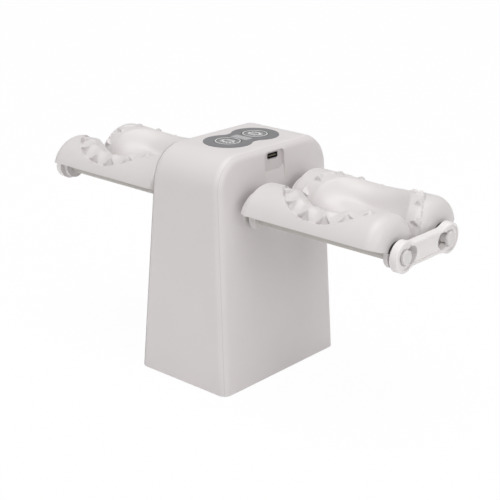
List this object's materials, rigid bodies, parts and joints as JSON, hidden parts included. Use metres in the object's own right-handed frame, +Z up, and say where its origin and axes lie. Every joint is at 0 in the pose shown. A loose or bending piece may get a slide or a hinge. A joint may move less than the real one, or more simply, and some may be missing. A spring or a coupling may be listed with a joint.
{
  "type": "electric dumpling maker",
  "caption": "Tapered tower with a button pad on top and two side arms, each a pair of geared half-round mould rolls with crimped half-moon cavities.",
  "frame": {"origin": "centre of the footprint, at the underside of the rubber feet", "axes": "+X along the arms, toward the side with the charging socket; +Y to the back; +Z up the tower"},
  "size_m": [0.2666, 0.1028, 0.1398],
  "materials": {
    "shell_plastic": "fine satin",
    "cover_plastic": "satin",
    "mould_plastic": "satin",
    "link_plastic": "satin",
    "pad_plastic": "satin",
    "window_plastic": "frosted",
    "axle_plastic": "satin",
    "gear_plastic": "natural",
    "bushing_plastic": "natural",
    "foot_rubber": "matte",
    "screw_steel": "zinc",
    "frame_steel": "zinc",
    "motor_steel": "zinc",
    "socket_steel": "nickel",
    "board_laminate": "solder mask",
    "switch_plastic": "moulded",
    "light_resin": "clear",
    "cell_sleeve": "shrink sleeve",
    "contact_metal": "nickel plated",
    "clip_steel": "phosphated"
  },
  "bodies": {
    "housing": {"tower_band": "shell_plastic", "side_cover_right": "shell_plastic", "side_cover_left": "shell_plastic", "base_cover": "cover_plastic", "rubber_feet": "foot_rubber", "base_screws": "screw_steel", "control_pad": "pad_plastic", "light_window": "window_plastic", "control_board": "board_laminate", "board_screws": "screw_steel", "push_switches": "switch_plastic", "indicator_light": "light_resin", "charging_socket": "socket_steel", "battery_holder": "cover_plastic", "battery_cells": "cell_sleeve", "battery_contacts": "contact_metal", "gear_frame_right": "frame_steel", "gear_frame_left": "frame_steel", "frame_screws": "screw_steel", "motor_right": "motor_steel", "motor_left": "motor_steel", "bushings_right": "bushing_plastic", "bushings_left": "bushing_plastic", "end_link_right": "link_plastic", "end_link_left": "link_plastic"},
    "roll_right_front": {"axle_right_front": "axle_plastic", "gear_right_front": "gear_plastic", "mould_right_front": "mould_plastic"},
    "roll_right_rear": {"axle_right_rear": "axle_plastic", "gear_right_rear": "gear_plastic", "mould_right_rear": "mould_plastic"},
    "roll_left_front": {"axle_left_front": "axle_plastic", "gear_left_front": "gear_plastic", "mould_left_front": "mould_plastic"},
    "roll_left_rear": {"axle_left_rear": "axle_plastic", "gear_left_rear": "gear_plastic", "mould_left_rear": "mould_plastic"},
    "drive_right": {"pinion_right": "gear_plastic"},
    "drive_left": {"pinion_left": "gear_plastic"},
    "key_front": {"button_front": "pad_plastic", "button_clip_front": "clip_steel"},
    "key_rear": {"button_rear": "pad_plastic", "button_clip_rear": "clip_steel"}
  },
  "joints": [
    {"name": "roll_right_front_turn", "type": "hinge", "parent": "housing", "child": "roll_right_front", "pos_m": [0.08, -0.021, 0.103], "axis": [1, 0, 0], "range_deg": [-180, 0]},
    {"name": "roll_right_rear_turn", "type": "hinge", "parent": "housing", "child": "roll_right_rear", "pos_m": [0.08, 0.021, 0.103], "axis": [1, 0, 0], "range_deg": [0, 180]},
    {"name": "roll_left_front_turn", "type": "hinge", "parent": "housing", "child": "roll_left_front", "pos_m": [-0.08, -0.021, 0.103], "axis": [1, 0, 0], "range_deg": [-180, 0]},
    {"name": "roll_left_rear_turn", "type": "hinge", "parent": "housing", "child": "roll_left_rear", "pos_m": [-0.08, 0.021, 0.103], "axis": [1, 0, 0], "range_deg": [0, 180]},
    {"name": "drive_right_spin", "type": "hinge", "parent": "housing", "child": "drive_right", "pos_m": [0.018, -0.021, 0.0715], "axis": [1, 0, 0], "range_deg": [0, 360]},
    {"name": "drive_left_spin", "type": "hinge", "parent": "housing", "child": "drive_left", "pos_m": [-0.018, 0.021, 0.0715], "axis": [1, 0, 0], "range_deg": [-360, 0]},
    {"name": "key_front_press", "type": "slide", "parent": "housing", "child": "key_front", "axis": [0, 0, 1], "range_m": [-0.0006, 0], "stiffness_N_per_m": 600, "springref_m": 0.0005},
    {"name": "key_rear_press", "type": "slide", "parent": "housing", "child": "key_rear", "axis": [0, 0, 1], "range_m": [-0.0006, 0], "stiffness_N_per_m": 600, "springref_m": 0.0005}
  ],
  "couplings": [
    {"joint": "roll_right_rear_turn", "follows": "roll_right_front_turn", "ratio": -1},
    {"joint": "drive_right_spin", "follows": "roll_right_front_turn", "ratio": -2},
    {"joint": "roll_left_rear_turn", "follows": "roll_left_front_turn", "ratio": -1},
    {"joint": "drive_left_spin", "follows": "roll_left_front_turn", "ratio": 2}
  ]
}
